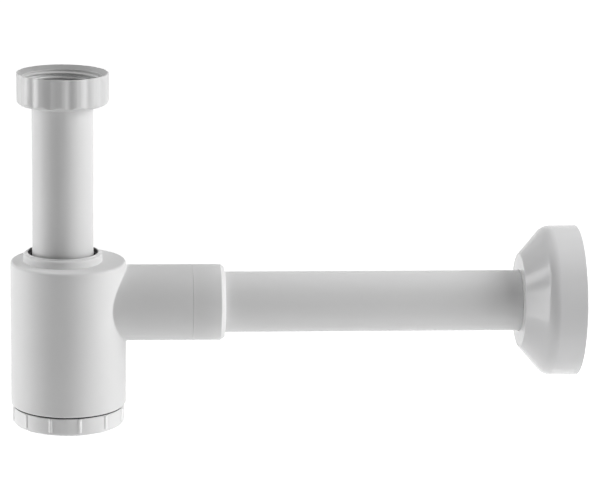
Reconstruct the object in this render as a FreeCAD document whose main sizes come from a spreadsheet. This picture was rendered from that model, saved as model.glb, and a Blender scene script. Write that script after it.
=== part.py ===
"""Bottle trap for a wash basin, with a 32 mm wall tube and a wall rosette.

The frame's origin is on the inlet's axis, at the face where the basin waste sits on its washer.
+Z is up, along the inlet, and +X runs along the outlet to the wall. Lengths are in millimetres.
"""

import FreeCAD, Part
import math
import os
import re

import Sketcher

# Driving sizes: name, value, meaning
SIZES = (
    ("pipe_radius", 16.0, "outside radius of the inlet tube and of the wall tube"),
    ("tube_wall", 1.8, "wall of both tubes"),
    ("tube_end_bevel", 0.6, "bevel on the ends of both tubes"),
    ("slide_gap", 0.35, "radial gap where a tube passes through a plain hole"),
    ("lip_gap", 0.06, "radial running gap between a seal's lips and its tube"),
    ("seat_gap", 0.05, "gap round a piece that is pressed or laid in its seat"),
    ("nut_radius", 24.0, "crest radius of the inlet nut"),
    ("nut_web", 3.0, "bottom web of the inlet nut, which pulls the tube's flange up"),
    ("nut_bottom_round", 2.8, "rounding of the nut's lower outer edge"),
    ("nut_top_round", 0.3, "rounding of the nut's rim"),
    ("thread_radius", 21.0, "root radius of the nut's thread, for a G 1 1/4 waste"),
    ("thread_depth", 9.5, "height of the nut's rim above the washer"),
    ("mouth_radius", 23.2, "radius of the nut's flared mouth"),
    ("mouth_depth", 2.2, "depth of that flare, down to the thread"),
    ("nut_lobe_count", 15, "soft lobes round the nut, with a valley between each two"),
    ("nut_lobe_radius", 9.3, "radius of one lobe across the nut"),
    ("nut_lobe_proud", 0.03, "how far a lobe's own circle would stand over the crest"),
    ("nut_valley_radius", 5.7, "hollow radius of the valley between two lobes"),
    ("nut_valley_turn", 14.1, "degrees from +X to the first valley"),
    ("washer_drop", 0.2, "how far the washer lies under the end of the nut's thread"),
    ("washer_thick", 1.8, "flat washer on the tube's flange"),
    ("washer_radius", 18.9, "outside radius of the flat washer"),
    ("washer_bore", 14.6, "bore radius of the flat washer"),
    ("flange_thick", 2.0, "flange at the top of the inlet tube"),
    ("flange_radius", 18.7, "outside radius of that flange"),
    ("flange_root", 0.8, "rounding of the inlet tube's bore at the flange"),
    ("dip_reach", 162.5, "lower end of the inlet tube, below the washer's seat"),
    ("lip_level", 85.2, "top of the collar's ring, below the washer's seat"),
    ("ring_rise", 0.6, "how far the ring stands over the collar"),
    ("ring_depth", 3.2, "height of the ring that holds the inlet seal down"),
    ("ring_gap", 2.2, "open gap between the ring's mouth and the inlet tube"),
    ("ring_foot", 1.0, "height of the ring's foot, which reaches in over the seal"),
    ("ring_lip_round", 0.45, "rounding on top of the ring's lip"),
    ("collar_height", 4.9, "ring's top above the bottle's top face"),
    ("collar_radius", 20.6, "outside radius of the collar"),
    ("collar_wall", 1.3, "wall of the collar round the seal's seat"),
    ("collar_round", 1.2, "rounded shoulder of the collar"),
    ("collar_land", 2.6, "plain hole that guides the inlet tube under its seal"),
    ("seal_height", 6.4, "length of a lip seal along its tube"),
    ("seal_back", 1.2, "gap between the back of a lip seal and its tube"),
    ("seal_lip", 1.1, "axial height of each flank of a seal's lips"),
    ("bottle_radius", 30.25, "outside radius of the bottle"),
    ("bottle_offset", 2.8, "bottle's axis from the inlet's axis, towards the wall"),
    ("bottle_height", 77.1, "bottle's top face to its lower edge"),
    ("bottle_wall", 3.0, "wall of the bottle"),
    ("bottle_top_round", 1.4, "rounding of the bottle's upper edge"),
    ("bottle_foot_round", 0.8, "rounding of the bottle's lower edge"),
    ("bottle_crown_round", 2.0, "rounding inside the bottle's top"),
    ("branch_drop", 22.95, "branch's axis below the bottle's top face"),
    ("branch_radius", 20.0, "outside radius of the branch"),
    ("branch_reach", 84.6, "end of the branch from the inlet's axis"),
    ("branch_root", 0.8, "rounding where the branch grows out of the bottle"),
    ("branch_stub", 2.0, "stub of the branch, past the bottle's side, in the bottle's own solid"),
    ("passage_radius", 15.4, "water passage from the bottle to the socket's stop"),
    ("socket_depth", 38.6, "end of the branch to the stop inside it"),
    ("sleeve_length", 17.1, "sleeve welded on the branch's end to hold the seal"),
    ("sleeve_wall", 1.65, "wall of that sleeve"),
    ("sleeve_seam", 0.2, "bevel that leaves a fine line where the sleeve meets the branch"),
    ("sleeve_bevel_length", 2.2, "sleeve's end bevel, along the tube"),
    ("sleeve_bevel_drop", 1.5, "sleeve's end bevel, towards the tube"),
    ("sleeve_bevel_round", 0.5, "rounding of both edges of that bevel"),
    ("mouth_lead", 0.8, "inner bevel of the sleeve's mouth"),
    ("spigot_length", 6.0, "stub of the branch inside the sleeve"),
    ("pipe_inset", 34.6, "wall tube's inner end, inside the end of the branch"),
    ("wall_reach", 271.8, "finished wall from the inlet's axis"),
    ("pipe_short", 1.8, "wall tube's outer end, short of the rosette's back plane"),
    ("rosette_depth", 30.35, "depth of the rosette"),
    ("rosette_radius", 39.9, "rim radius of the rosette at the wall"),
    ("rosette_draft", 0.3, "how much narrower the rim is at its front"),
    ("rosette_rim", 17.6, "rim depth, from the wall to the corner with the cone"),
    ("rosette_face", 24.8, "radius of the rosette's flat face"),
    ("rosette_wall", 1.8, "wall of the rosette"),
    ("rosette_corner", 8.0, "rounding between the rosette's cone and its rim"),
    ("rosette_face_round", 0.7, "rounding of the rosette's face"),
    ("rosette_back_round", 0.4, "rounding of the rosette's rim at the wall"),
    ("cup_slot", 0.95, "open slot between the bottle and the cup"),
    ("cup_height", 9.4, "visible height of the cup"),
    ("cup_radius", 29.3, "outside radius of the cup between its ribs"),
    ("cup_foot_round", 1.6, "rounding of the cup's lower edge"),
    ("cup_head_round", 0.3, "rounding of the cup's upper edge"),
    ("cup_floor", 2.2, "floor of the cup"),
    ("cup_bowl_round", 2.0, "rounding inside the cup, where its floor meets the neck"),
    ("cup_recess", 1.0, "shallow recess under the cup"),
    ("cup_recess_radius", 22.5, "radius of that recess"),
    ("cup_rib_count", 12, "grip ribs round the cup"),
    ("cup_rib_radius", 1.15, "radius of a grip rib's round crest"),
    ("cup_rib_rise", 0.6, "how far a rib stands over the cup"),
    ("cup_rib_foot", 2.0, "lower end of a rib above the cup's underside"),
    ("cup_rib_turn", 10.9, "degrees from +X to the first rib"),
    ("neck_height", 10.6, "threaded neck of the cup above its rim"),
    ("neck_wall", 2.3, "wall of the neck at the root of its thread"),
    ("thread_rise", 1.05, "radial room for the thread between the neck and the bottle"),
    ("neck_bevel", 0.8, "bevel on top of the neck"),
    ("foot_thread_wall", 1.9, "wall of the bottle round the cup's thread"),
    ("foot_thread_depth", 11.0, "threaded height inside the bottle's foot"),
    ("foot_seat_wall", 1.25, "wall of the bottle round the cup seal's seat"),
    ("foot_seat_depth", 1.4, "depth of that seat"),
)

# Levels and radii that follow from the sizes, as formulas
FLANGE_TOP = "(-washer_drop - washer_thick)"
WEB_TOP = "(-washer_drop - washer_thick - flange_thick)"
NUT_BOTTOM = "(-washer_drop - washer_thick - flange_thick - nut_web)"
COLLAR_TOP = "(-lip_level - ring_rise)"
RING_BOTTOM = "(-lip_level - ring_depth)"
SEAL_BOTTOM = "(-lip_level - ring_depth - seal_height)"
BOSS_BOTTOM = "(-lip_level - ring_depth - seal_height - collar_land)"
COLLAR_SEAT = "(collar_radius - collar_wall)"
BOTTLE_TOP = "(-lip_level - collar_height)"
BOTTLE_FOOT = "(-lip_level - collar_height - bottle_height)"
BRANCH_LEVEL = "(-lip_level - collar_height - branch_drop)"
FOOT_THREAD = "(bottle_radius - foot_thread_wall)"
FOOT_SEAT = "(bottle_radius - foot_seat_wall)"
CUP_TOP = "(-lip_level - collar_height - bottle_height - cup_slot)"
NECK = "(bottle_radius - foot_thread_wall - thread_rise)"
BRANCH_START = "(bottle_offset + bottle_radius + branch_stub)"
SLEEVE_START = "(branch_reach - sleeve_length)"
SPIGOT_END = "(branch_reach - sleeve_length + spigot_length)"
SOCKET = "(pipe_radius + slide_gap)"
PIPE_BORE = "(pipe_radius - tube_wall)"

NEAR = 1e-4  # how close an edge passes to the corner that names it


def bound(formula):
    """Return the formula with each size read from the spreadsheet."""
    return re.sub(r"[a-z_]+(?![a-z_(])", lambda word: "Sizes." + word.group(0), formula)


def make_sheet(doc):
    """Write the driving sizes into the document's spreadsheet."""
    sheet = doc.addObject("Spreadsheet::Sheet", "Sizes")
    for row, (name, value, meaning) in enumerate(SIZES, start=1):
        sheet.set(f"A{row}", meaning)
        sheet.set(f"B{row}", str(value))
        sheet.setAlias(f"B{row}", name)
    doc.recompute()
    return sheet


def make_body(doc, label, shift_x=None, shift_z=None, turn=None):
    """Start one sub-part, placed by formulas, with a turn for a piece that lies along X."""
    body = doc.addObject("PartDesign::Body", label.title().replace("_", ""))
    body.Label = label
    if turn:
        body.Placement = FreeCAD.Placement(FreeCAD.Vector(), turn)
    if shift_x:
        body.setExpression("Placement.Base.x", bound(shift_x))
    if shift_z:
        body.setExpression("Placement.Base.z", bound(shift_z))
    return body


def make_sketch(body, plane, name, shift_x=None, shift_y=None):
    """Attach an empty sketch to one of the body's own origin planes."""
    support = next(item for item in body.Origin.OriginFeatures if item.Role == plane)
    sketch = body.newObject("Sketcher::SketchObject", name)
    sketch.AttachmentSupport = [(support, "")]
    sketch.MapMode = "FlatFace"
    if shift_x:
        sketch.setExpression("AttachmentOffset.Base.x", bound(shift_x))
    if shift_y:
        sketch.setExpression("AttachmentOffset.Base.y", bound(shift_y))
    return sketch


def pin_corner(sketch, line, corner, start, formulas):
    """Tie the start of a line to its two formulas, under the corner's name."""
    for kind, axis, guess, formula in (
        ("DistanceX", "x", start.x, formulas[0]),
        ("DistanceY", "y", start.y, formulas[1]),
    ):
        if formula == "0":
            on_axis = -2 if axis == "x" else -1
            sketch.addConstraint(Sketcher.Constraint("PointOnObject", line, 1, on_axis))
            continue
        number = sketch.addConstraint(Sketcher.Constraint(kind, line, 1, guess))
        sketch.renameConstraint(number, f"{corner}_{axis}")
        sketch.setExpression(f"Constraints.{corner}_{axis}", bound(formula))


def draw_outline(sketch, corners):
    """Draw a closed outline through named corners, each with an x and a y formula."""
    count = len(corners)
    turns = [2 * math.pi * index / count for index in range(count)]
    starts = [FreeCAD.Vector(math.cos(turn), math.sin(turn), 0) for turn in turns]
    for index in range(count):
        line = Part.LineSegment(starts[index], starts[(index + 1) % count])
        sketch.addGeometry(line, False)
    for index in range(count):
        join = Sketcher.Constraint("Coincident", index, 2, (index + 1) % count, 1)
        sketch.addConstraint(join)
    for index, (corner, formulas) in enumerate(corners.items()):
        pin_corner(sketch, index, corner, starts[index], formulas)


def turn_outline(body, kind, name, corners, axis="V_Axis", shift_x=None, shift_y=None):
    """Turn an outline on the XZ plane about one of its axes, to add or to cut a ring."""
    sketch = make_sketch(body, "XZ_Plane", name + "Outline", shift_x, shift_y)
    draw_outline(sketch, corners)
    body.Document.recompute()
    before = body.Shape.Volume if kind == "Groove" else 0.0
    turned = body.newObject("PartDesign::" + kind, name)
    turned.Profile = sketch
    turned.ReferenceAxis = (sketch, [axis])
    turned.Angle = 360
    body.Document.recompute()
    if kind == "Groove" and turned.Shape.Volume > before - NEAR:
        raise RuntimeError(f"{name} cuts nothing")
    return sketch


def corner_point(sketch, corner):
    """Return a named corner's place in the body's own frame."""
    names = [item.Name for item in sketch.Constraints]
    x, y = (
        sketch.getDatum(f"{corner}_{axis}").Value if f"{corner}_{axis}" in names else 0.0
        for axis in "xy"
    )
    return sketch.Placement.multVec(FreeCAD.Vector(x, y, 0))


def edges_through(shape, points):
    """Name the round edges of a shape that pass through any of the points."""
    found = []
    for number, edge in enumerate(shape.Edges, start=1):
        if not isinstance(edge.Curve, Part.Circle):
            continue
        if any(edge.distToShape(Part.Vertex(point))[0] < NEAR for point in points):
            found.append(f"Edge{number}")
    return found


def soften(body, kind, name, size, sketch, corners):
    """Round or bevel the round edges at an outline's named corners."""
    base = body.Tip
    edges = edges_through(base.Shape, [corner_point(sketch, item) for item in corners])
    if len(edges) < len(corners):
        raise RuntimeError(f"{name} found {len(edges)} edges for {corners}")
    feature = body.newObject("PartDesign::" + kind, name)
    feature.Base = (base, edges)
    feature.setExpression("Radius" if kind == "Fillet" else "Size", bound(size))
    body.Document.recompute()


def repeat(body, feature, name, axis, count):
    """Repeat a feature evenly round an axis."""
    pattern = body.newObject("PartDesign::PolarPattern", name)
    pattern.Originals = [feature]
    pattern.Axis = axis
    pattern.Angle = 360
    pattern.setExpression("Occurrences", bound(count))
    body.Tip = pattern
    body.Document.recompute()


def make_inlet_nut(doc):
    """Union nut: threaded bore, a web under the tube's flange, and soft lobes outside."""
    body = make_body(doc, "inlet_nut")
    rim = turn_outline(body, "Revolution", "NutRing", {
        "hole_foot": ("pipe_radius + slide_gap", NUT_BOTTOM),
        "foot": ("nut_radius", NUT_BOTTOM),
        "rim": ("nut_radius", "thread_depth"),
        "mouth": ("mouth_radius", "thread_depth"),
        "thread_head": ("thread_radius", "thread_depth - mouth_depth"),
        "thread_foot": ("thread_radius", "0"),
        "seat_head": ("washer_radius + slide_gap", "0"),
        "seat_foot": ("washer_radius + slide_gap", WEB_TOP),
        "hole_head": ("pipe_radius + slide_gap", WEB_TOP),
    })
    soften(body, "Fillet", "NutFoot", "nut_bottom_round", rim, ["foot"])
    soften(body, "Fillet", "NutRim", "nut_top_round", rim, ["rim"])
    valley = cut_nut_valley(body)
    axis = next(item for item in body.Origin.OriginFeatures if item.Role == "Z_Axis")
    repeat(body, valley, "NutValleys", (axis, [""]), "nut_lobe_count")
    return body


def around(radius, turn):
    """Return the point at a radius and a turn about the sketch's origin."""
    return FreeCAD.Vector(radius * math.cos(turn), radius * math.sin(turn), 0)


def arc_between(centre, radius, first, last):
    """Return the arc of a circle, counterclockwise between two points of it."""
    turns = [math.atan2(point.y - centre.y, point.x - centre.x) for point in (first, last)]
    return Part.ArcOfCircle(Part.Circle(centre, FreeCAD.Vector(0, 0, 1), radius), *turns)


def cut_nut_valley(body):
    """Cut the valley between two lobes: outside both lobes' circles, with a hollow bottom."""
    sizes = body.Document.Sizes
    turn = math.radians(sizes.nut_valley_turn)
    half = math.pi / sizes.nut_lobe_count
    lobe, hollow = sizes.nut_lobe_radius, sizes.nut_valley_radius
    middle = sizes.nut_radius + sizes.nut_lobe_proud - lobe
    reach = middle * math.cos(half) + math.sqrt((lobe + hollow) ** 2 - (middle * math.sin(half)) ** 2)
    upper, lower, centre = around(middle, turn + half), around(middle, turn - half), around(reach, turn)
    upper_crest, lower_crest = around(middle + lobe, turn + half), around(middle + lobe, turn - half)
    upper_join, lower_join = (
        centre + (side - centre).normalize() * hollow for side in (upper, lower)
    )
    outside = around(sizes.nut_radius + lobe, turn)
    sketch = make_sketch(body, "XY_Plane", "ValleyOutline")
    axis, upper_spoke, lower_spoke = (
        sketch.addGeometry(Part.LineSegment(FreeCAD.Vector(), point), True)
        for point in (outside, upper, lower)
    )
    upper_arc = sketch.addGeometry(arc_between(upper, lobe, upper_join, upper_crest), False)
    lower_arc = sketch.addGeometry(arc_between(lower, lobe, lower_crest, lower_join), False)
    bottom = sketch.addGeometry(arc_between(centre, hollow, upper_join, lower_join), False)
    upper_side = sketch.addGeometry(Part.LineSegment(upper_crest, outside), False)
    lower_side = sketch.addGeometry(Part.LineSegment(lower_crest, outside), False)
    sketch.addConstraint([
        Sketcher.Constraint("Coincident", axis, 1, -1, 1),
        Sketcher.Constraint("Coincident", upper_spoke, 1, -1, 1),
        Sketcher.Constraint("Coincident", lower_spoke, 1, -1, 1),
        # each lobe's circle has its centre on a spoke, half a lobe to either side
        Sketcher.Constraint("Coincident", upper_arc, 3, upper_spoke, 2),
        Sketcher.Constraint("Coincident", lower_arc, 3, lower_spoke, 2),
        Sketcher.Constraint("Equal", upper_arc, lower_arc),
        Sketcher.Constraint("Equal", upper_spoke, lower_spoke),
        # the hollow runs into both lobes smoothly, and the lobes run out to the crests
        Sketcher.Constraint("Tangent", bottom, 1, upper_arc, 1),
        Sketcher.Constraint("Tangent", bottom, 2, lower_arc, 2),
        Sketcher.Constraint("Coincident", upper_side, 1, upper_arc, 2),
        Sketcher.Constraint("Coincident", lower_side, 1, lower_arc, 1),
        Sketcher.Constraint("PointOnObject", upper_arc, 2, upper_spoke),
        Sketcher.Constraint("PointOnObject", lower_arc, 1, lower_spoke),
        Sketcher.Constraint("Coincident", upper_side, 2, axis, 2),
        Sketcher.Constraint("Coincident", lower_side, 2, axis, 2),
    ])
    for kind, items, name, start, formula in (
        ("Radius", (upper_arc,), "lobe_radius", lobe, "nut_lobe_radius"),
        ("Radius", (bottom,), "valley_radius", hollow, "nut_valley_radius"),
        ("Distance", (upper_spoke,), "lobe_centre", middle,
         "nut_radius + nut_lobe_proud - nut_lobe_radius"),
        ("Distance", (axis,), "outside", outside.Length, "nut_radius + nut_lobe_radius"),
        ("Angle", (-1, 1, axis, 1), "valley_turn", turn, "nut_valley_turn"),
        ("Angle", (axis, 1, upper_spoke, 1), "half_up", half, "180 / nut_lobe_count"),
        ("Angle", (lower_spoke, 1, axis, 1), "half_down", half, "180 / nut_lobe_count"),
    ):
        number = sketch.addConstraint(Sketcher.Constraint(kind, *items, start))
        sketch.renameConstraint(number, name)
        sketch.setExpression("Constraints." + name, bound(formula))
    body.Document.recompute()
    before = body.Shape.Volume
    pocket = body.newObject("PartDesign::Pocket", "NutValley")
    pocket.Profile = sketch
    pocket.Type = "ThroughAll"
    pocket.Midplane = True
    body.Document.recompute()
    if pocket.Shape.Volume > before - NEAR:
        raise RuntimeError("NutValley cuts nothing")
    return pocket


def make_inlet_washer(doc):
    """Flat washer between the basin waste and the tube's flange."""
    body = make_body(doc, "inlet_washer")
    turn_outline(body, "Revolution", "WasherRing", {
        "bore_foot": ("washer_bore", FLANGE_TOP),
        "edge_foot": ("washer_radius", FLANGE_TOP),
        "edge_head": ("washer_radius", "-washer_drop"),
        "bore_head": ("washer_bore", "-washer_drop"),
    })
    return body


def make_inlet_tube(doc):
    """Flanged tube that hangs from the nut, passes the collar's seal and dips into the water."""
    body = make_body(doc, "inlet_tube")
    tube = turn_outline(body, "Revolution", "TubeRing", {
        "bore_foot": (PIPE_BORE, "-dip_reach"),
        "foot": ("pipe_radius", "-dip_reach"),
        "flange_root": ("pipe_radius", WEB_TOP),
        "flange_under": ("flange_radius", WEB_TOP),
        "flange_top": ("flange_radius", FLANGE_TOP),
        "bore_head": (PIPE_BORE, FLANGE_TOP),
    })
    soften(body, "Chamfer", "TubeEnd", "tube_end_bevel", tube, ["foot"])
    soften(body, "Fillet", "TubeMouth", "flange_root", tube, ["bore_head"])
    return body


def make_seal(doc, label, shift_x=None, shift_z=None, turn=None):
    """Double-lipped rubber ring, drawn with its outer end at zero and its axis along Z."""
    body = make_body(doc, label, shift_x, shift_z, turn)
    back = "(pipe_radius + seal_back)"
    lip = "(pipe_radius + lip_gap)"
    outside = "(collar_radius - collar_wall - seat_gap)"
    if turn:
        outside = "(branch_radius - sleeve_wall - seat_gap)"
    turn_outline(body, "Revolution", label.title().replace("_", "") + "Ring", {
        "outer_head": (outside, "-seat_gap"),
        "outer_foot": (outside, "-seal_height"),
        "inner_foot": (back, "-seal_height"),
        "low_lip_foot": (lip, "-seal_height + seal_lip"),
        "low_lip_head": (lip, "-seal_height + seal_lip + seal_lip / 2"),
        "waist_foot": (back, "-seal_height + 2 * seal_lip + seal_lip / 2"),
        "waist_head": (back, "-seat_gap - 2 * seal_lip - seal_lip / 2"),
        "high_lip_foot": (lip, "-seat_gap - seal_lip - seal_lip / 2"),
        "high_lip_head": (lip, "-seat_gap - seal_lip"),
        "inner_head": (back, "-seat_gap"),
    })
    return body


def make_inlet_ring(doc):
    """Ring pressed into the collar over the seal, with an open mouth round the tube."""
    body = make_body(doc, "inlet_seal_ring")
    seat = COLLAR_SEAT + " - seat_gap"
    ring = turn_outline(body, "Revolution", "SealRing", {
        "foot_bore": ("pipe_radius + seal_back", RING_BOTTOM),
        "edge_foot": (seat, RING_BOTTOM),
        "lip_outer": (seat, "-lip_level"),
        "lip_inner": ("pipe_radius + ring_gap", "-lip_level"),
        "mouth_foot": ("pipe_radius + ring_gap", RING_BOTTOM + " + ring_foot"),
        "foot_head": ("pipe_radius + seal_back", RING_BOTTOM + " + ring_foot"),
    })
    soften(body, "Fillet", "LipRound", "ring_lip_round", ring, ["lip_outer", "lip_inner"])
    return body


def make_trap_body(doc):
    """Moulded bottle with its eccentric collar, the seats inside it and the branch's root."""
    body = make_body(doc, "trap_body")
    bottle = turn_outline(body, "Revolution", "Bottle", {
        "axis_foot": ("0", BOTTLE_FOOT),
        "foot": ("bottle_radius", BOTTLE_FOOT),
        "head": ("bottle_radius", BOTTLE_TOP),
        "axis_head": ("0", BOTTLE_TOP),
    }, shift_x="bottle_offset")
    soften(body, "Fillet", "BottleHead", "bottle_top_round", bottle, ["head"])
    turn_outline(body, "Revolution", "BranchStub", {
        "axis_start": ("bottle_offset", "0"),
        "start": ("bottle_offset", "branch_radius"),
        "end": (BRANCH_START, "branch_radius"),
        "axis_end": (BRANCH_START, "0"),
    }, axis="H_Axis", shift_y=BRANCH_LEVEL)
    soften_branch_root(body)
    inside = turn_outline(body, "Groove", "BottleHollow", {
        "axis_foot": ("0", BOTTLE_FOOT + " - cup_slot"),
        "under": (FOOT_SEAT, BOTTLE_FOOT + " - cup_slot"),
        "seat_head": (FOOT_SEAT, BOTTLE_FOOT + " + foot_seat_depth"),
        "thread_foot": (FOOT_THREAD, BOTTLE_FOOT + " + foot_seat_depth"),
        "thread_head": (FOOT_THREAD, BOTTLE_FOOT + " + foot_thread_depth"),
        "wall_foot": ("bottle_radius - bottle_wall", BOTTLE_FOOT + " + foot_thread_depth"),
        "crown": ("bottle_radius - bottle_wall", BOTTLE_TOP + " - bottle_wall"),
        "axis_head": ("0", BOTTLE_TOP + " - bottle_wall"),
    }, shift_x="bottle_offset")
    soften(body, "Fillet", "Crown", "bottle_crown_round", inside, ["crown"])
    soften(body, "Fillet", "BottleFoot", "bottle_foot_round", bottle, ["foot"])
    collar = turn_outline(body, "Revolution", "Collar", {
        "axis_foot": ("0", BOSS_BOTTOM),
        "boss_foot": ("collar_radius", BOSS_BOTTOM),
        "shoulder": ("collar_radius", COLLAR_TOP),
        "axis_head": ("0", COLLAR_TOP),
    })
    soften(body, "Fillet", "CollarShoulder", "collar_round", collar, ["shoulder"])
    turn_outline(body, "Groove", "CollarBore", {
        "axis_foot": ("0", BOSS_BOTTOM + " - collar_land"),
        "land_foot": (SOCKET, BOSS_BOTTOM + " - collar_land"),
        "land_head": (SOCKET, SEAL_BOTTOM),
        "seat_foot": (COLLAR_SEAT, SEAL_BOTTOM),
        "seat_head": (COLLAR_SEAT, "-lip_level"),
        "axis_head": ("0", "-lip_level"),
    })
    turn_outline(body, "Groove", "Passage", {
        "axis_start": ("bottle_offset", "0"),
        "start": ("bottle_offset", "passage_radius"),
        "end": (BRANCH_START, "passage_radius"),
        "axis_end": (BRANCH_START, "0"),
    }, axis="H_Axis", shift_y=BRANCH_LEVEL)
    return body


def soften_branch_root(body):
    """Round the saddle where the branch grows out of the bottle."""
    base = body.Tip
    saddle = [
        f"Edge{number}"
        for number, edge in enumerate(base.Shape.Edges, start=1)
        if not isinstance(edge.Curve, (Part.Circle, Part.Line))
    ]
    root = body.newObject("PartDesign::Fillet", "BranchRoot")
    root.Base = (base, saddle)
    root.setExpression("Radius", bound("branch_root"))
    body.Document.recompute()


def make_trap_branch(doc):
    """Branch of the same moulding, from the stub on: passage, socket with its stop, and spigot."""
    body = make_body(doc, "trap_branch", shift_z=BRANCH_LEVEL)
    spigot = "(branch_radius - sleeve_wall - seat_gap)"
    turn_outline(body, "Revolution", "Branch", {
        "start_bore": (BRANCH_START, "passage_radius"),
        "start": (BRANCH_START, "branch_radius"),
        "shoulder": (SLEEVE_START, "branch_radius"),
        "spigot_root": (SLEEVE_START, spigot),
        "spigot_end": (SPIGOT_END, spigot),
        "socket_end": (SPIGOT_END, SOCKET),
        "stop": ("branch_reach - socket_depth", SOCKET),
        "stop_edge": ("branch_reach - socket_depth", "passage_radius"),
    }, axis="H_Axis")
    return body


def make_outlet_sleeve(doc):
    """Sleeve welded over the branch's end, which holds the outlet seal in."""
    body = make_body(doc, "outlet_seal_sleeve", shift_z=BRANCH_LEVEL)
    inner = "(branch_radius - sleeve_wall)"
    sleeve = turn_outline(body, "Revolution", "Sleeve", {
        "start_inner": (SLEEVE_START, inner),
        "start": (SLEEVE_START, "branch_radius"),
        "bevel_start": ("branch_reach - sleeve_bevel_length", "branch_radius"),
        "bevel_end": ("branch_reach", "branch_radius - sleeve_bevel_drop"),
        "mouth": ("branch_reach", SOCKET),
        "lip_back": (SPIGOT_END + " + seal_height", SOCKET),
        "seat_end": (SPIGOT_END + " + seal_height", inner),
    }, axis="H_Axis")
    corners = ["bevel_start", "bevel_end"]
    soften(body, "Fillet", "SleeveEdges", "sleeve_bevel_round", sleeve, corners)
    soften(body, "Chamfer", "SleeveMouth", "mouth_lead", sleeve, ["mouth"])
    soften(body, "Chamfer", "SleeveSeam", "sleeve_seam", sleeve, ["start"])
    return body


def make_outlet_pipe(doc):
    """Plain wall tube, pushed through the outlet seal."""
    body = make_body(doc, "outlet_pipe", shift_z=BRANCH_LEVEL)
    tube = turn_outline(body, "Revolution", "Pipe", {
        "start_bore": ("branch_reach - pipe_inset", PIPE_BORE),
        "start": ("branch_reach - pipe_inset", "pipe_radius"),
        "end": ("wall_reach - pipe_short", "pipe_radius"),
        "end_bore": ("wall_reach - pipe_short", PIPE_BORE),
    }, axis="H_Axis")
    soften(body, "Chamfer", "PipeEnds", "tube_end_bevel", tube, ["start", "end"])
    return body


def make_wall_rosette(doc):
    """Bell-shaped cover that slides on the tube and hides the hole in the wall."""
    body = make_body(doc, "wall_rosette", shift_z=BRANCH_LEVEL)
    face = "(wall_reach - rosette_depth)"
    corner = "(wall_reach - rosette_rim)"
    front_rim = "(rosette_radius - rosette_draft)"
    # the wall is measured square to the cone, so its inner corners move along the slope
    slope = f"({front_rim} - rosette_face) / ({corner} - {face})"
    slant = f"sqrt(1 + ({slope}) * ({slope}))"
    inner_face = f"(rosette_face + rosette_wall * ({slope}) - rosette_wall * {slant})"
    inner_rim = f"({front_rim} - rosette_wall)"
    inner_corner = f"({corner} + rosette_wall * ({slant} - 1) / ({slope}))"
    bell = turn_outline(body, "Revolution", "Bell", {
        "hole": (face, SOCKET),
        "face": (face, "rosette_face"),
        "corner": (corner, front_rim),
        "rim": ("wall_reach", "rosette_radius"),
        "rim_inner": ("wall_reach", "rosette_radius - rosette_wall"),
        "corner_inner": (inner_corner, inner_rim),
        "face_inner": (face + " + rosette_wall", inner_face),
        "hole_inner": (face + " + rosette_wall", SOCKET),
    }, axis="H_Axis")
    soften(body, "Fillet", "BellCorner", "rosette_corner", bell, ["corner"])
    soften(body, "Fillet", "BellCornerInner", "rosette_corner - rosette_wall", bell,
           ["corner_inner"])
    soften(body, "Fillet", "BellFace", "rosette_face_round", bell, ["face"])
    soften(body, "Fillet", "BellBack", "rosette_back_round", bell, ["rim"])
    return body


def make_cup_seal(doc):
    """Square-section ring on the cup's neck, seated in the bottle's foot."""
    body = make_body(doc, "cup_seal", shift_x="bottle_offset")
    turn_outline(body, "Revolution", "CupSealRing", {
        "bore_foot": (NECK + " + lip_gap", CUP_TOP),
        "edge_foot": (FOOT_SEAT + " - 2 * seat_gap", CUP_TOP),
        "edge_head": (FOOT_SEAT + " - 2 * seat_gap", BOTTLE_FOOT + " + foot_seat_depth"),
        "bore_head": (NECK + " + lip_gap", BOTTLE_FOOT + " + foot_seat_depth"),
    })
    return body


def make_bottom_cup(doc):
    """Clean-out cup: threaded neck, deep bowl, grip ribs and a recessed underside."""
    body = make_body(doc, "bottom_cup", shift_x="bottle_offset")
    underside = CUP_TOP + " - cup_height"
    bowl = NECK + " - neck_wall"
    cup = turn_outline(body, "Revolution", "Cup", {
        "recess_axis": ("0", underside + " + cup_recess"),
        "recess_head": ("cup_recess_radius", underside + " + cup_recess"),
        "recess_foot": ("cup_recess_radius", underside),
        "foot": ("cup_radius", underside),
        "head": ("cup_radius", CUP_TOP),
        "neck_root": (NECK, CUP_TOP),
        "neck_head": (NECK, CUP_TOP + " + neck_height"),
        "bore_head": (bowl, CUP_TOP + " + neck_height"),
        "floor_edge": (bowl, underside + " + cup_recess + cup_floor"),
        "floor_axis": ("0", underside + " + cup_recess + cup_floor"),
    })
    soften(body, "Fillet", "CupFoot", "cup_foot_round", cup, ["foot"])
    soften(body, "Fillet", "CupHead", "cup_head_round", cup, ["head"])
    soften(body, "Chamfer", "NeckHead", "neck_bevel", cup, ["neck_head"])
    soften(body, "Fillet", "BowlFloor", "cup_bowl_round", cup, ["floor_edge"])
    rib = add_cup_rib(body, underside)
    axis = next(item for item in body.Origin.OriginFeatures if item.Role == "Z_Axis")
    repeat(body, rib, "CupRibs", (axis, [""]), "cup_rib_count")
    return body


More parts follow.
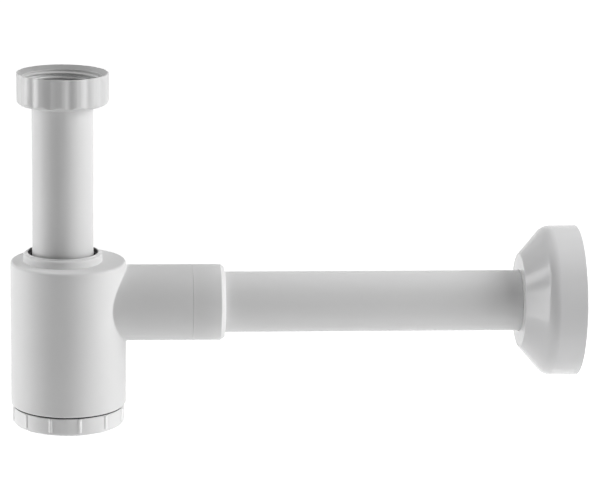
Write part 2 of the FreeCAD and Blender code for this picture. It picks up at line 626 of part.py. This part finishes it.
def add_cup_rib(body, underside):
    """Raise one grip rib on the cup, with a round crest, at the first rib's turn."""
    sketch = make_sketch(body, "XY_Plane", "RibOutline")
    sketch.setExpression("AttachmentOffset.Base.z", bound(underside + " + cup_rib_foot"))
    sketch.setExpression("AttachmentOffset.Rotation.Angle", bound("cup_rib_turn"))
    sizes = body.Document.Sizes
    reach = sizes.cup_radius + sizes.cup_rib_rise - sizes.cup_rib_radius
    crest = Part.Circle(FreeCAD.Vector(reach, 0, 0), FreeCAD.Vector(0, 0, 1), sizes.cup_rib_radius)
    rib = sketch.addGeometry(crest, False)
    sketch.addConstraint(Sketcher.Constraint("PointOnObject", rib, 3, -1))
    for kind, items, name, start, formula in (
        ("Radius", (rib,), "radius", sizes.cup_rib_radius, "cup_rib_radius"),
        ("DistanceX", (rib, 3), "reach", reach, "cup_radius + cup_rib_rise - cup_rib_radius"),
    ):
        number = sketch.addConstraint(Sketcher.Constraint(kind, *items, start))
        sketch.renameConstraint(number, name)
        sketch.setExpression("Constraints." + name, bound(formula))
    body.Document.recompute()
    pad = body.newObject("PartDesign::Pad", "CupRib")
    pad.Profile = sketch
    pad.setExpression("Length", bound("cup_height - cup_rib_foot - cup_head_round"))
    body.Document.recompute()
    return pad


def check_all(doc, pieces):
    """Stop on any feature that failed and on any piece that isn't one sound solid."""
    for item in doc.Objects:
        if "Invalid" in item.State or "Error" in item.State:
            raise RuntimeError(f"{item.Name} failed: {item.State}")
    for piece in pieces:
        shape = piece.Shape
        if shape.isNull() or not shape.isValid() or len(shape.Solids) != 1:
            raise RuntimeError(f"{piece.Label} isn't one sound solid")


def main():
    doc = FreeCAD.newDocument("BasinTrap")
    make_sheet(doc)
    along_x = FreeCAD.Rotation(FreeCAD.Vector(0, 1, 0), 90)
    pieces = [
        make_trap_body(doc),
        make_trap_branch(doc),
        make_seal(doc, "inlet_seal", shift_z=RING_BOTTOM),
        make_inlet_ring(doc),
        make_seal(doc, "outlet_seal", SPIGOT_END + " + seal_height", BRANCH_LEVEL, along_x),
        make_outlet_sleeve(doc),
        make_inlet_tube(doc),
        make_inlet_washer(doc),
        make_inlet_nut(doc),
        make_outlet_pipe(doc),
        make_wall_rosette(doc),
        make_cup_seal(doc),
        make_bottom_cup(doc),
    ]
    doc.recompute()
    check_all(doc, pieces)
    os.makedirs("parts", exist_ok=True)
    for piece in pieces:
        piece.Shape.exportStep(f"parts/{piece.Label}.step")
        box = piece.Shape.BoundBox
        print(f"{piece.Label}: {piece.Shape.Volume / 1000:.2f} cm3, "
              f"x {box.XMin:.2f} {box.XMax:.2f}, y {box.YMin:.2f} {box.YMax:.2f}, "
              f"z {box.ZMin:.2f} {box.ZMax:.2f}")


main()
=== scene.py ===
"""Bottle trap for a wash basin in white plastic, dressed for a studio picture.

Lengths are in metres, in the part's own frame: the origin is on the inlet's axis at the
washer's seat, +Z is up and +X runs along the wall tube to the wall.
"""

import math

import bmesh
import bpy
from mathutils import Matrix, Vector


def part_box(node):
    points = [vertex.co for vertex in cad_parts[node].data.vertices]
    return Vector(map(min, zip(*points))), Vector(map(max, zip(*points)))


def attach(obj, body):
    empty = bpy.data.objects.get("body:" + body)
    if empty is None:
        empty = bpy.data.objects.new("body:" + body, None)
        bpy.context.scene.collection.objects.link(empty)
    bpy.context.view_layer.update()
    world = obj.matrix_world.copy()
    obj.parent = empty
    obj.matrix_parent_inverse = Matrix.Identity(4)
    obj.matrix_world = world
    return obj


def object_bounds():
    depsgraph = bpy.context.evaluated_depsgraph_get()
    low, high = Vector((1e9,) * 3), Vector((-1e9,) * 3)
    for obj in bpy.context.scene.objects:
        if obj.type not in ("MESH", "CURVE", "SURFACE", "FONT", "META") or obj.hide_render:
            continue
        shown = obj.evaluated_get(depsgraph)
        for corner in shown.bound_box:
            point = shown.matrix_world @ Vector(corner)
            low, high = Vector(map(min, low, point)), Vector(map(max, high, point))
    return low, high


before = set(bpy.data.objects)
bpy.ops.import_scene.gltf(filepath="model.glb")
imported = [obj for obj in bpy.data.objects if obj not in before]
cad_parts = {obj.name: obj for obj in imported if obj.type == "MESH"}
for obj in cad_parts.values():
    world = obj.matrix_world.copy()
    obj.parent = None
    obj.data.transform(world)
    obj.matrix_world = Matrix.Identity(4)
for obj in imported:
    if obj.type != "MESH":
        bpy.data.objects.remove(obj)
cad_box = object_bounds()

MM = 0.001

# Places taken from the CAD: the sleeve's start and end, and the upright axis of bottle and cup
sleeve_start, sleeve_end = (corner.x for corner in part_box("outlet_seal_sleeve"))
cup_axis_x = sum(corner.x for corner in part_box("bottom_cup")) / 2

# Camera, as found from the outlines in the photograph
IMAGE_WIDTH_PX = 600
FOCAL_PX = 2893.0
SENSOR_MM = 36.0
CAMERA_PLACE = Vector((-7.546, -1472.478, 276.048)) * MM
CAMERA_YAW = math.radians(5.1175)
CAMERA_PITCH = math.radians(-13.729)
CAMERA_ROLL = math.radians(0.9838)

# Studio: the floor of the room lies well under a trap that hangs from its basin
FLOOR_DROP = 0.42
FLOOR_WIDTH = 16.0
FLOOR_WHITE = (0.8, 0.8, 0.8)
FLOOR_SEEN_UNDER_PART = 0.8
FLOOR_NEAR = 0.55
FLOOR_FAR = 1.05
AMBIENT = 0.10
AIM = Vector((0.10, 0.0, -0.09))

# Softboxes: name, degrees round from the camera's side towards +X, degrees up,
# distance, width, height, watts
SOFTBOXES = (
    ("softbox_left", -95, 7, 1.3, 0.7, 1.4, 11.4),
    ("softbox_right_front", 50, 7, 1.3, 0.7, 1.4, 3.1),
    ("softbox_right", 80, 7, 1.3, 0.7, 1.4, 4.4),
    ("softbox_right_high", 80, 28, 1.0, 0.6, 0.6, 5.9),
    ("softbox_top", 0, 85, 1.3, 1.4, 1.0, 1.6),
    ("softbox_top_back", 180, 60, 1.3, 1.4, 1.0, 0.9),
    ("softbox_top_left", -120, 50, 1.3, 1.0, 1.0, 2.3),
    ("softbox_under", 0, -62, 0.5, 1.2, 0.4, 0.75),
    ("softbox_under_right", 90, -35, 0.8, 0.8, 0.4, 0.8),
)

# Whites of the plastic, painted light and shade on some pieces, and black of the seals, as linear
# colours
BODY_WHITE = (0.80, 0.80, 0.80)
# Painted shade and painted light of the sleeve: shade beside its seam, light on the seam and
# towards its end
SLEEVE_PAINTED_SHADE = (0.775, 0.775, 0.775)
SLEEVE_PAINTED_LIGHT = (0.86, 0.86, 0.86)
# Painted shade on the ring's bore, over the gap down to the seal
RING_BORE_PAINTED_SHADE = (0.09, 0.09, 0.09)
INLET_WHITE = (0.76, 0.76, 0.76)
OUTLET_WHITE = (0.83, 0.83, 0.83)
NUT_WHITE = (0.65, 0.65, 0.65)
# Painted shade in the nut's mouth and on its first thread turn, and painted light deep in its bore
NUT_MOUTH_PAINTED_SHADE = (0.40, 0.40, 0.40)
NUT_THREAD_PAINTED_SHADE = (0.60, 0.60, 0.60)
NUT_DEEP_PAINTED_LIGHT = (0.90, 0.90, 0.90)
CUP_WHITE = (0.82, 0.82, 0.82)
# Painted highlight on the crests of the cup's grip ribs
CUP_RIB_PAINTED_HIGHLIGHT = (0.95, 0.95, 0.95)
ROSETTE_WHITE = (0.74, 0.74, 0.745)
SEAL_BLACK = (0.018, 0.018, 0.019)

# Where painted light and shade change: distances past the sleeve's seam, radii, and a level in the
# nut
SEAM_GLINT_FADE = (0.2 * MM, 1.6 * MM)
SEAM_PAINTED_GLINT = 0.35
SLEEVE_PAINTED_LIGHT_FROM = 2.5 * MM
RING_PAINTED_SHADE_EDGE = (18.2 * MM, 18.35 * MM)
NUT_SEAT_LEVEL = 0.0
NUT_DEEP_LEVEL = 4.8 * MM
NUT_THREAD_RADIUS = 21.1 * MM
NUT_MOUTH_RADIUS = 23.22 * MM
CUP_RIB_HIGHLIGHT_FLANK = (29.35 * MM, 29.6 * MM)

# How the plastics bend light, how deep it soaks in, and how far the die draws out its lines
PLASTIC_IOR = 1.49
RUBBER_IOR = 1.52
GLOW_DEPTH = 1.2 * MM
DIE_STRETCH = 0.006

# Screw threads: a ridge stands out from its wall, or into the bore where rise and sink are negative
RIDGE_SINK = 0.05 * MM
RIDGE_FADE = 0.12
RIDGE_TIP = 0.04
RIDGE_STEPS = 160
NUT_THREAD = {
    "Wall Radius": 21.0 * MM, "Rise": -1.45 * MM, "Sink": -RIDGE_SINK, "Root Width": 2.0 * MM,
    "Crest Width": 0.6 * MM, "Crest Round": 0.25 * MM, "Pitch": 2.309 * MM, "Turns": 2.4,
    "Start Turn": 0.32, "Lowest Place": Vector((0.0, 0.0, 1.05)) * MM,
}
CUP_PITCH = 3.0 * MM
CUP_THREAD_PLACE = Vector((cup_axis_x, 0.0, -165.2 * MM))
CUP_THREAD = {
    "Wall Radius": 27.3 * MM, "Rise": 0.85 * MM, "Sink": RIDGE_SINK, "Root Width": 1.7 * MM,
    "Crest Width": 0.6 * MM, "Crest Round": 0.2 * MM, "Pitch": CUP_PITCH, "Turns": 2.0,
    "Start Turn": 0.6, "Lowest Place": CUP_THREAD_PLACE,
}
FOOT_THREAD = {
    **CUP_THREAD, "Wall Radius": 28.35 * MM, "Rise": -0.85 * MM, "Sink": -RIDGE_SINK, "Turns": 1.9,
    "Lowest Place": CUP_THREAD_PLACE + Vector((0.0, 0.0, CUP_PITCH / 2)),
}


def add(tree, kind, inputs=None, **settings):
    """Add one node. An input given as a socket is linked, and any other is set."""
    node = tree.nodes.new(kind)
    for name, value in settings.items():
        setattr(node, name, value)
    for name, value in (inputs or {}).items():
        if isinstance(value, bpy.types.NodeSocket):
            tree.links.new(value, node.inputs[name])
        else:
            node.inputs[name].default_value = value
    return node


def maths(tree, operation, first, second=0.0, third=0.0):
    """Add one sum and return its result."""
    node = add(tree, "ShaderNodeMath", {0: first, 1: second, 2: third}, operation=operation)
    return node.outputs[0]


def glide(tree, value, start, end, first=0.0, last=1.0):
    """Glide smoothly from a first result to a last one, while a value goes from start to end."""
    node = add(tree, "ShaderNodeMapRange", {
        "Value": value, "From Min": start, "From Max": end, "To Min": first, "To Max": last},
        interpolation_type="SMOOTHSTEP")
    return node.outputs[0]


def start_material(name):
    """Make an empty material and return it with its node tree."""
    material = bpy.data.materials.new(name)
    material.use_nodes = True
    material.node_tree.nodes.clear()
    return material, material.node_tree


def place_on(tree, stretch=(1.0, 1.0, 1.0)):
    """Return the place on the piece in metres, stretched along the part's axes."""
    place = add(tree, "ShaderNodeTexCoord").outputs["Object"]
    return add(tree, "ShaderNodeMapping", {"Vector": place, "Scale": stretch}).outputs[0]


def place_along(tree, axis):
    """Return the place along one of the part's axes."""
    return add(tree, "ShaderNodeSeparateXYZ", {0: place_on(tree)}).outputs[axis]


def distance_to(tree, point, stretch=(1.0, 1.0, 1.0)):
    """Return the distance between the place on the piece and a point."""
    node = add(tree, "ShaderNodeVectorMath", {0: place_on(tree, stretch), 1: point},
               operation="DISTANCE")
    return node.outputs["Value"]


def radius_round(tree, axis_x):
    """Return the distance from the upright axis that stands at a place along X."""
    return distance_to(tree, (axis_x, 0.0, 0.0), stretch=(1.0, 1.0, 0.0))


def noise(tree, place, per_metre, detail=3.0, roughness=0.5):
    """Return cloudy noise from 0 to 1, with a number of clouds to the metre."""
    node = add(tree, "ShaderNodeTexNoise", {
        "Vector": place, "Scale": per_metre, "Detail": detail, "Roughness": roughness})
    return node.outputs["Fac"]


def spread(tree, value, low, high):
    """Spread the middle of a noise over a range of values."""
    node = add(tree, "ShaderNodeMapRange", {
        "Value": value, "From Min": 0.3, "From Max": 0.7, "To Min": low, "To Max": high})
    return node.outputs[0]


def blend(tree, mask, outer, inner):
    """Blend two colours, each a socket or three numbers: the inner one shows where a mask is 1."""
    sides = [side if isinstance(side, bpy.types.NodeSocket) else (*side, 1.0)
             for side in (outer, inner)]
    node = add(tree, "ShaderNodeMix", {
        "Factor": mask, "A": sides[0], "B": sides[1]}, data_type="RGBA")
    return node.outputs["Result"]


def drift(tree, clouds, colour, depth):
    """Let a colour drift a little, darker by a depth between the clouds of a noise."""
    dark = [channel * (1.0 - depth) for channel in colour]
    return blend(tree, spread(tree, clouds, low=0.0, high=1.0), dark, colour)


def bump(tree, height, depth, below=None):
    """Raise a surface by a height from 0 to 1 times a depth in metres."""
    inputs = {"Height": height, "Distance": depth, "Strength": 1.0}
    if below:
        inputs["Normal"] = below
    return add(tree, "ShaderNodeBump", inputs).outputs[0]


def finish_surface(tree, colour, roughness, normal, **fixed):
    """Join the layers in one surface shader."""
    surface = add(tree, "ShaderNodeBsdfPrincipled", {
        "Base Color": colour, "Roughness": roughness, "Normal": normal, **fixed})
    add(tree, "ShaderNodeOutputMaterial", {"Surface": surface.outputs[0]})


def finish_white(tree, colour, roughness, normal, gloss, glow):
    """Join the layers of a white plastic.

    Its gloss is how strongly it mirrors, and its glow is how much light soaks into it.
    """
    finish_surface(tree, colour, roughness, normal, **{
        "IOR": PLASTIC_IOR, "Specular IOR Level": gloss, "Subsurface Weight": glow,
        "Subsurface Radius": (1.0, 1.0, 1.0), "Subsurface Scale": GLOW_DEPTH})


def bottle_colour(tree):
    """Colour the bottle and its branch in a white that drifts a little."""
    tone = noise(tree, place_on(tree), per_metre=28.0)
    return drift(tree, tone, BODY_WHITE, depth=0.025)


def sleeve_painted_light_and_shade(tree):
    """Paint a glint on the sleeve's seam, shade beside it, and light towards its end."""
    along = place_along(tree, "X")
    seam_from, seam_to = (sleeve_start + past for past in SEAM_GLINT_FADE)
    # painted glint on the seam, fading into painted shade beside it
    seam = glide(tree, along, seam_from, seam_to, first=SEAM_PAINTED_GLINT, last=0.0)
    # painted light rising towards the sleeve's end
    end = glide(tree, along, sleeve_start + SLEEVE_PAINTED_LIGHT_FROM, sleeve_end)
    return blend(tree, maths(tree, "MAXIMUM", end, seam), SLEEVE_PAINTED_SHADE, SLEEVE_PAINTED_LIGHT)


def ring_colour_with_painted_shade(tree):
    """Colour the ring, with painted shade on its bore over the open gap to the seal's rubber."""
    # painted shade on the ring's bore
    bore = glide(tree, radius_round(tree, 0.0), *RING_PAINTED_SHADE_EDGE, first=1.0, last=0.0)
    return blend(tree, bore, bottle_colour(tree), RING_BORE_PAINTED_SHADE)


def nut_colour_with_painted_light(tree):
    """Colour the nut: painted shade in its mouth and first thread turn, painted light deep inside.
    """
    tone = noise(tree, place_on(tree), per_metre=40.0)
    outside = drift(tree, tone, NUT_WHITE, depth=0.02)
    radius = radius_round(tree, 0.0)
    height = place_along(tree, "Z")
    bore = maths(tree, "GREATER_THAN", height, NUT_SEAT_LEVEL)
    mouth = maths(tree, "MULTIPLY", bore, maths(tree, "LESS_THAN", radius, NUT_MOUTH_RADIUS))
    thread = maths(tree, "MULTIPLY", bore, maths(tree, "LESS_THAN", radius, NUT_THREAD_RADIUS))
    deep = maths(tree, "MULTIPLY", thread, maths(tree, "LESS_THAN", height, NUT_DEEP_LEVEL))
    # painted shade in the mouth and on the first thread turn, painted light deep inside
    with_mouth_shade = blend(tree, mouth, outside, NUT_MOUTH_PAINTED_SHADE)
    with_thread_shade = blend(tree, thread, with_mouth_shade, NUT_THREAD_PAINTED_SHADE)
    return blend(tree, deep, with_thread_shade, NUT_DEEP_PAINTED_LIGHT)


def cup_colour_with_painted_highlight(tree):
    """Colour the cup, with a painted highlight on the crests of its grip ribs."""
    tone = noise(tree, place_on(tree), per_metre=40.0)
    wall = drift(tree, tone, CUP_WHITE, depth=0.02)
    # painted highlight on the rib crests
    crest_highlight = glide(tree, radius_round(tree, cup_axis_x), *CUP_RIB_HIGHLIGHT_FLANK)
    return blend(tree, crest_highlight, wall, CUP_RIB_PAINTED_HIGHLIGHT)


def moulded_plastic(name, colour_of):
    """Satin polypropylene of the bottle, of its sleeve or of its ring."""
    material, tree = start_material(name)
    place = place_on(tree)
    grain = noise(tree, place, per_metre=2200.0, detail=2.0)
    wave = noise(tree, place, per_metre=70.0, detail=1.0)
    cloud = noise(tree, place, per_metre=240.0)
    normal = bump(tree, grain, depth=0.010 * MM, below=bump(tree, wave, depth=0.06 * MM))
    roughness = spread(tree, cloud, low=0.46, high=0.56)
    finish_white(tree, colour_of(tree), roughness, normal, gloss=0.3, glow=0.15)
    return material


def screw_plastic(name, colour_of, gloss):
    """Slightly glossier moulding of the two pieces that are screwed by hand."""
    material, tree = start_material(name)
    place = place_on(tree)
    grain = noise(tree, place, per_metre=2400.0, detail=2.0)
    wave = noise(tree, place, per_metre=110.0, detail=1.0)
    cloud = noise(tree, place, per_metre=300.0)
    normal = bump(tree, grain, depth=0.008 * MM, below=bump(tree, wave, depth=0.05 * MM))
    roughness = spread(tree, cloud, low=0.34, high=0.44)
    finish_white(tree, colour_of(tree), roughness, normal, gloss=gloss, glow=0.2)
    return material


def extruded_plastic(name, along, white):
    """Satin tube with fine lines drawn along it by the die."""
    material, tree = start_material(name)
    stretched = place_on(tree, [DIE_STRETCH if axis == along else 1.0 for axis in "xyz"])
    lines = noise(tree, stretched, per_metre=900.0, detail=4.0, roughness=0.6)
    bands = noise(tree, stretched, per_metre=160.0, detail=1.0)
    grain = noise(tree, place_on(tree), per_metre=2600.0, detail=2.0)
    colour = drift(tree, bands, white, depth=0.02)
    normal = bump(tree, lines, depth=0.012 * MM, below=bump(tree, grain, depth=0.006 * MM))
    roughness = spread(tree, lines, low=0.40, high=0.52)
    finish_white(tree, colour, roughness, normal, gloss=0.3, glow=0.1)
    return material


def rosette_plastic():
    """Glossy polystyrene of the wall rosette, with a faint moulding ripple."""
    material, tree = start_material("rosette_white")
    place = place_on(tree)
    tone = noise(tree, place, per_metre=22.0)
    ripple = noise(tree, place, per_metre=60.0, detail=2.0)
    cloud = noise(tree, place, per_metre=320.0)
    colour = drift(tree, tone, ROSETTE_WHITE, depth=0.015)
    normal = bump(tree, ripple, depth=0.05 * MM)
    roughness = spread(tree, cloud, low=0.10, high=0.18)
    finish_white(tree, colour, roughness, normal, gloss=0.5, glow=0.1)
    return material


def seal_rubber():
    """Matt black rubber with a faint grey bloom."""
    material, tree = start_material("seal_black")
    place = place_on(tree)
    bloom = noise(tree, place, per_metre=180.0, detail=4.0)
    grain = noise(tree, place, per_metre=1600.0)
    colour = drift(tree, bloom, SEAL_BLACK, depth=0.35)
    normal = bump(tree, grain, depth=0.03 * MM)
    roughness = spread(tree, bloom, low=0.62, high=0.78)
    finish_surface(tree, colour, roughness, normal, IOR=RUBBER_IOR)
    return material


def dress_nodes():
    """Give each CAD node its finish, and return the finishes by name."""
    finishes = {
        "moulded": moulded_plastic("moulded_white", bottle_colour),
        "sleeve": moulded_plastic("sleeve_white_painted_light", sleeve_painted_light_and_shade),
        "ring": moulded_plastic("ring_white_painted_shade", ring_colour_with_painted_shade),
        "inlet": extruded_plastic("tube_white_upright", "z", INLET_WHITE),
        "outlet": extruded_plastic("tube_white_level", "x", OUTLET_WHITE),
        "nut": screw_plastic("nut_white_painted_light", nut_colour_with_painted_light, gloss=0.85),
        "cup": screw_plastic("cup_white_painted_highlight", cup_colour_with_painted_highlight, gloss=0.4),
        "rosette": rosette_plastic(),
        "rubber": seal_rubber(),
    }
    wears = {
        "moulded": ("trap_body", "trap_branch"),
        "sleeve": ("outlet_seal_sleeve",),
        "ring": ("inlet_seal_ring",),
        "inlet": ("inlet_tube",),
        "outlet": ("outlet_pipe",),
        "nut": ("inlet_nut",),
        "cup": ("bottom_cup",),
        "rosette": ("wall_rosette",),
        "rubber": ("inlet_washer", "inlet_seal", "outlet_seal", "cup_seal"),
    }
    for finish, nodes in wears.items():
        for node in nodes:
            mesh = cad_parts[node].data
            mesh.materials.clear()
            mesh.materials.append(finishes[finish])
    return finishes


def ridge_sockets(tree):
    """Name the sizes that a thread's tree takes, and return them as sockets."""
    tree.interface.new_socket(name="Geometry", in_out="OUTPUT", socket_type="NodeSocketGeometry")
    for name, kind in (
        ("Wall Radius", "Float"), ("Rise", "Float"), ("Sink", "Float"), ("Root Width", "Float"),
        ("Crest Width", "Float"), ("Crest Round", "Float"), ("Pitch", "Float"), ("Turns", "Float"),
        ("Start Turn", "Float"), ("Lowest Place", "Vector"), ("Fade", "Float"),
        ("Steps a Turn", "Int"), ("Finish", "Material"),
    ):
        tree.interface.new_socket(name=name, in_out="INPUT", socket_type="NodeSocket" + kind)
    return add(tree, "NodeGroupInput").outputs


def ridge_profile(tree, size):
    """Draw the ridge's section, with its foot a little inside the wall."""
    foot = maths(tree, "MULTIPLY", size["Sink"], -1.0)
    corners = {}
    for number, (x, width, side) in enumerate((
        (foot, "Root Width", -0.5), (size["Rise"], "Crest Width", -0.5),
        (size["Rise"], "Crest Width", 0.5), (foot, "Root Width", 0.5),
    ), start=1):
        y = maths(tree, "MULTIPLY", size[width], side)
        corners[f"Point {number}"] = add(tree, "ShaderNodeCombineXYZ", {"X": x, "Y": y}).outputs[0]
    section = add(tree, "GeometryNodeCurvePrimitiveQuadrilateral", corners, mode="POINTS")
    rounded = add(tree, "GeometryNodeFilletCurve", {
        "Curve": section.outputs[0], "Radius": size["Crest Round"], "Count": 3,
        "Limit Radius": True}, mode="POLY")
    return rounded.outputs[0]


def make_ridge_tree():
    """Build the tree of a right-handed thread: a ridge that winds up a wall and fades at its ends.

    Blender's own spiral is left-handed, so it is reversed.
    """
    tree = bpy.data.node_groups.new("screw_thread", "GeometryNodeTree")
    size = ridge_sockets(tree)
    height = maths(tree, "MULTIPLY", size["Pitch"], size["Turns"])
    path = add(tree, "GeometryNodeCurveSpiral", {
        "Resolution": size["Steps a Turn"], "Rotations": size["Turns"], "Height": height,
        "Start Radius": size["Wall Radius"], "End Radius": size["Wall Radius"], "Reverse": True})
    upright = add(tree, "GeometryNodeSetCurveNormal", {"Curve": path.outputs[0]}, mode="Z_UP")
    along = add(tree, "GeometryNodeSplineParameter").outputs["Factor"]
    from_end = maths(tree, "SUBTRACT", 1.0, along)
    nearest = maths(tree, "MINIMUM", along, from_end)
    fade = glide(tree, nearest, 0.0, size["Fade"], first=RIDGE_TIP)
    ridge = add(tree, "GeometryNodeCurveToMesh", {
        "Curve": upright.outputs[0], "Profile Curve": ridge_profile(tree, size),
        "Scale": fade, "Fill Caps": True})
    angle = maths(tree, "MULTIPLY", size["Start Turn"], 2 * math.pi)
    rotation = add(tree, "ShaderNodeCombineXYZ", {"Z": angle}).outputs[0]
    placed = add(tree, "GeometryNodeTransform", {
        "Geometry": ridge.outputs[0], "Translation": size["Lowest Place"], "Rotation": rotation})
    real = add(tree, "GeometryNodeRealizeInstances", {"Geometry": placed.outputs[0]})
    smooth = add(tree, "GeometryNodeSetShadeSmooth", {"Geometry": real.outputs[0]})
    finished = add(tree, "GeometryNodeSetMaterial", {
        "Geometry": smooth.outputs[0], "Material": size["Finish"]})
    add(tree, "NodeGroupOutput", {"Geometry": finished.outputs[0]})
    return tree


def make_thread(tree, name, body, sizes):
    """Run the thread's tree with its sizes and keep the result as a plain mesh on its body."""
    holder = bpy.data.objects.new(name + "_path", bpy.data.meshes.new(name + "_path"))
    bpy.context.scene.collection.objects.link(holder)
    modifier = holder.modifiers.new("thread", "NODES")
    modifier.node_group = tree
    for item in tree.interface.items_tree:
        if item.in_out == "INPUT":
            modifier[item.identifier] = sizes[item.name]
    ready = holder.evaluated_get(bpy.context.evaluated_depsgraph_get())
    mesh = bpy.data.meshes.new_from_object(ready)
    bpy.data.objects.remove(holder)
    shell = bmesh.new()
    shell.from_mesh(mesh)
    bmesh.ops.recalc_face_normals(shell, faces=shell.faces)
    shell.to_mesh(mesh)
    shell.free()
    mesh.name = name
    piece = bpy.data.objects.new(name, mesh)
    bpy.context.scene.collection.objects.link(piece)
    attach(piece, body)


def make_threads(finishes):
    """Wind the three screw threads of the trap: in the nut, round the neck and in the foot."""
    tree = make_ridge_tree()
    for name, body, slot, sizes, finish in (
        ("nut_thread", "inlet_nut", "nut_plastic", NUT_THREAD, "nut"),
        ("cup_thread", "bottom_cup", "nut_plastic", CUP_THREAD, "cup"),
        ("foot_thread", "trap_body", "moulded_body", FOOT_THREAD, "moulded"),
    ):
        make_thread(tree, name, body, {
            **sizes, "Fade": RIDGE_FADE, "Steps a Turn": RIDGE_STEPS, "Finish": finishes[finish]})


def make_camera():
    """Set up the camera at the photograph's viewpoint."""
    data = bpy.data.cameras.new("camera")
    data.sensor_fit = "HORIZONTAL"
    data.sensor_width = SENSOR_MM
    data.lens = FOCAL_PX / IMAGE_WIDTH_PX * SENSOR_MM
    camera = bpy.data.objects.new("camera", data)
    turn = Matrix.Rotation(-CAMERA_YAW, 4, "Z")
    tilt = Matrix.Rotation(math.pi / 2 + CAMERA_PITCH, 4, "X")
    roll = Matrix.Rotation(CAMERA_ROLL, 4, "Z")
    camera.matrix_world = Matrix.Translation(CAMERA_PLACE) @ turn @ tilt @ roll
    bpy.context.scene.collection.objects.link(camera)
    bpy.context.scene.camera = camera


def seen_directly(tree):
    """Return 1 on what the camera sees, straight or by a mirror or through glass."""
    path = add(tree, "ShaderNodeLightPath").outputs
    seen = maths(tree, "ADD", path["Is Camera Ray"], path["Is Glossy Ray"])
    return maths(tree, "ADD", seen, path["Is Transmission Ray"])


def make_world():
    """Light the room a little, with a white background where it is seen."""
    world = bpy.data.worlds.new("studio")
    bpy.context.scene.world = world
    world.use_nodes = True
    tree = world.node_tree
    tree.nodes.clear()
    strength = maths(tree, "MULTIPLY_ADD", seen_directly(tree), 1.0 - AMBIENT, AMBIENT)
    light = add(tree, "ShaderNodeBackground", {
        "Color": (1.0, 1.0, 1.0, 1.0), "Strength": strength})
    add(tree, "ShaderNodeOutputWorld", {"Surface": light.outputs[0]})


def floor_material(level):
    """Pale floor that takes the part's shadow, and looks white away from it."""
    material, tree = start_material("floor_white")
    pale = add(tree, "ShaderNodeBsdfDiffuse", {"Color": (*FLOOR_WHITE, 1.0)})
    away = distance_to(tree, (AIM.x, AIM.y, level))
    lift = glide(tree, away, FLOOR_NEAR, FLOOR_FAR, first=FLOOR_SEEN_UNDER_PART)
    shown = maths(tree, "MULTIPLY", seen_directly(tree), lift)
    glow = add(tree, "ShaderNodeEmission", {"Strength": shown})
    both = add(tree, "ShaderNodeAddShader", {0: pale.outputs[0], 1: glow.outputs[0]})
    add(tree, "ShaderNodeOutputMaterial", {"Surface": both.outputs[0]})
    return material


def make_floor():
    """Lay a wide floor well under the part."""
    half = FLOOR_WIDTH / 2
    lowest = cad_box[0][2]
    level = lowest - FLOOR_DROP
    corners = [(x * half, y * half, level) for x, y in ((-1, -1), (1, -1), (1, 1), (-1, 1))]
    mesh = bpy.data.meshes.new("floor")
    mesh.from_pydata(corners, [], [(0, 1, 2, 3)])
    mesh.materials.append(floor_material(level))
    floor = bpy.data.objects.new("floor", mesh)
    bpy.context.scene.collection.objects.link(floor)


def make_softbox(name, around, up, distance, width, height, watts):
    """Hang one softbox round the part, facing it and out of the camera's sight."""
    data = bpy.data.lights.new(name, "AREA")
    data.shape = "RECTANGLE"
    data.size = width
    data.size_y = height
    data.energy = watts
    side = math.radians(around)
    rise = math.radians(up)
    reach = math.cos(rise)
    away = Vector((math.sin(side) * reach, -math.cos(side) * reach, math.sin(rise)))
    light = bpy.data.objects.new(name, data)
    light.visible_camera = False
    light.location = AIM + away * distance
    light.rotation_euler = away.to_track_quat("Z", "Y").to_euler()
    bpy.context.scene.collection.objects.link(light)


finishes = dress_nodes()
make_threads(finishes)
make_camera()
make_world()
make_floor()
for softbox in SOFTBOXES:
    make_softbox(*softbox)

bpy.context.scene.view_settings.view_transform = "Standard"
